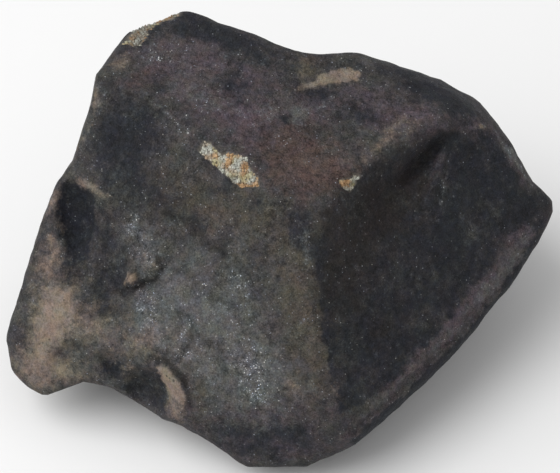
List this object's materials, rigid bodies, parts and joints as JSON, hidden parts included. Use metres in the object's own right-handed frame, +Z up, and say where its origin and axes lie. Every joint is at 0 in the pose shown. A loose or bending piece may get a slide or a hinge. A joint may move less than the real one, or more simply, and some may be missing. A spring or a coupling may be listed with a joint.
{
  "type": "meteorite fragment",
  "caption": "Stony meteorite fragment: a broken block with a dark rounded crust, shallow thumbprint hollows and pale chips, resting on a small flat spot.",
  "frame": {"origin": "bottom centre of the stone's bounding box, in the plane of the flat spot it rests on", "axes": "+Z up; +X along the longest side, to the right in the picture; -Y towards the side seen in the picture, which looks down on the stone from 45 degrees above"},
  "size_m": [0.0656, 0.0486, 0.0368],
  "materials": {
    "fusion_crust": "dull to slightly glossy melted crust, dark purple-grey, dusted tan in places, with pale grainy chips"
  },
  "bodies": {
    "root": {"meteorite_fragment": "fusion_crust"}
  },
  "joints": []
}
